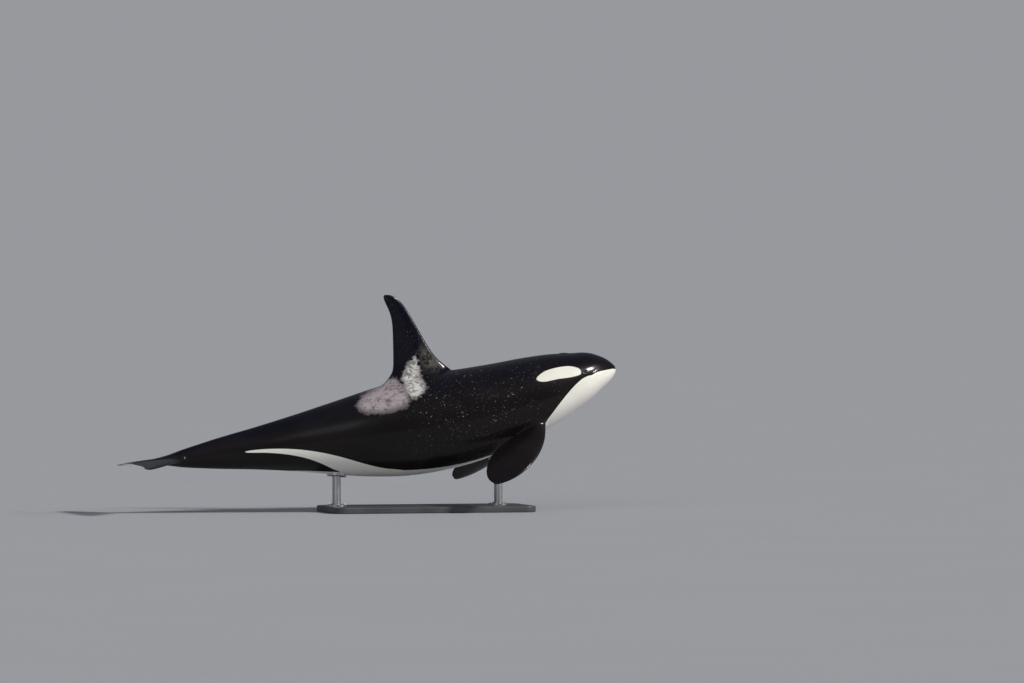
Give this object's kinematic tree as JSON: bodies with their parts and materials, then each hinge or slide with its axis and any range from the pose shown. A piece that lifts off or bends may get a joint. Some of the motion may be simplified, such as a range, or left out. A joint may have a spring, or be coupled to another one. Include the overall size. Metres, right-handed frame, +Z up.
{
  "type": "life-size orca display model",
  "caption": "Whole young male orca, head lifted as if surfacing, held by short rods over a flat rectangular base.",
  "frame": {"origin": "centre of the underside of the stand's base, on the floor", "axes": "+X is the way the orca faces, +Y is its left side, +Z is up"},
  "size_m": [6.4472, 2.0868, 2.8032],
  "materials": {
    "skin": "wet glossy black skin with white and pale grey markings",
    "eye": "wet, very dark brown",
    "stand_base": "satin charcoal paint",
    "stand_rod": "brushed"
  },
  "bodies": {
    "root": {"head": "skin", "lower_jaw": "skin", "torso": "skin", "tail_stock": "skin", "dorsal_fin": "skin", "flipper_right": "skin", "flipper_left": "skin", "fluke_right": "skin", "fluke_left": "skin", "eye_right": "eye", "eye_left": "eye", "stand_base": "stand_base", "stand_rod_front": "stand_rod", "stand_rod_rear": "stand_rod"}
  },
  "joints": []
}
